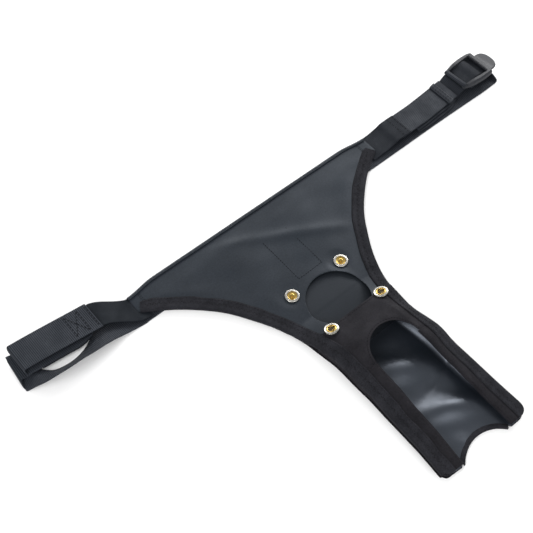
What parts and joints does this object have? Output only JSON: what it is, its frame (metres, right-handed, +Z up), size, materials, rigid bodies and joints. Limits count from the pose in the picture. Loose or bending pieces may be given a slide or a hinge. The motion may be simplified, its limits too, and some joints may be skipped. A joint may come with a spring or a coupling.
{
  "type": "avalanche transceiver harness",
  "caption": "Fabric chest harness that carries an avalanche transceiver: T-shaped panel, fold-up pocket leg with snaps, and a webbing shoulder strap with a ladder-lock buckle.",
  "frame": {"origin": "centre of the back strap behind the panel, on the plane that the harness lies on", "axes": "+X along the strap towards the buckle, +Y away from the pocket leg, +Z up from the surface it lies on"},
  "size_m": [0.6231, 0.3504, 0.0261],
  "materials": {
    "coated_cloth": "satin coated weave",
    "pocket_cloth": "matte plain weave",
    "tape": "matte ribbed tape",
    "lining": "gloss coating over weave",
    "webbing": "ribbed weave",
    "nickel": "plated, satin",
    "brass": "polished",
    "plastic": "moulded, satin"
  },
  "bodies": {
    "chest": {"chest_panel": "coated_cloth", "chest_backing": "lining", "rear_patch": "coated_cloth", "top_binding": "tape", "wing_binding_left": "tape", "wing_binding_right": "tape", "back_strap": "webbing", "left_loop": "webbing", "right_loop": "webbing", "stud_ring_left": "nickel", "stud_ring_right": "nickel", "stud_left": "brass", "stud_right": "brass"},
    "leg": {"leg_panel": "coated_cloth", "pocket_bridge": "pocket_cloth", "pocket_strip_left": "pocket_cloth", "pocket_strip_right": "pocket_cloth", "leg_back": "pocket_cloth", "pocket_lining": "lining", "notch_binding": "tape", "leg_binding_left": "tape", "leg_binding_right": "tape", "side_wall_left": "pocket_cloth", "side_wall_right": "pocket_cloth", "socket_ring_left": "nickel", "socket_ring_right": "nickel", "socket_left": "brass", "socket_right": "brass", "socket_spring_left": "brass", "socket_spring_right": "brass"},
    "left_strap": {"left_wing_strap": "webbing", "left_strap": "webbing"},
    "right_strap": {"right_wing_strap": "webbing", "right_strap": "webbing", "strap_hem": "webbing"},
    "buckle": {"ladder_lock": "plastic", "adjuster_webbing": "webbing"}
  },
  "joints": [
    {"name": "leg_fold", "type": "hinge", "parent": "chest", "child": "leg", "pos_m": [0, -0.113, 0.0072], "axis": [-1, 0, 0], "range_deg": [0, 160]},
    {"name": "left_strap_lift", "type": "hinge", "parent": "chest", "child": "left_strap", "pos_m": [-0.158, 0, 0.0058], "axis": [0, 1, 0], "range_deg": [0, 110]},
    {"name": "right_strap_lift", "type": "hinge", "parent": "chest", "child": "right_strap", "pos_m": [0.158, 0, 0.0058], "axis": [0, -1, 0], "range_deg": [0, 110]},
    {"name": "buckle_tilt", "type": "hinge", "parent": "right_strap", "child": "buckle", "pos_m": [0.291, 0, 0.0118], "axis": [0, -1, 0], "range_deg": [0, 40]}
  ]
}
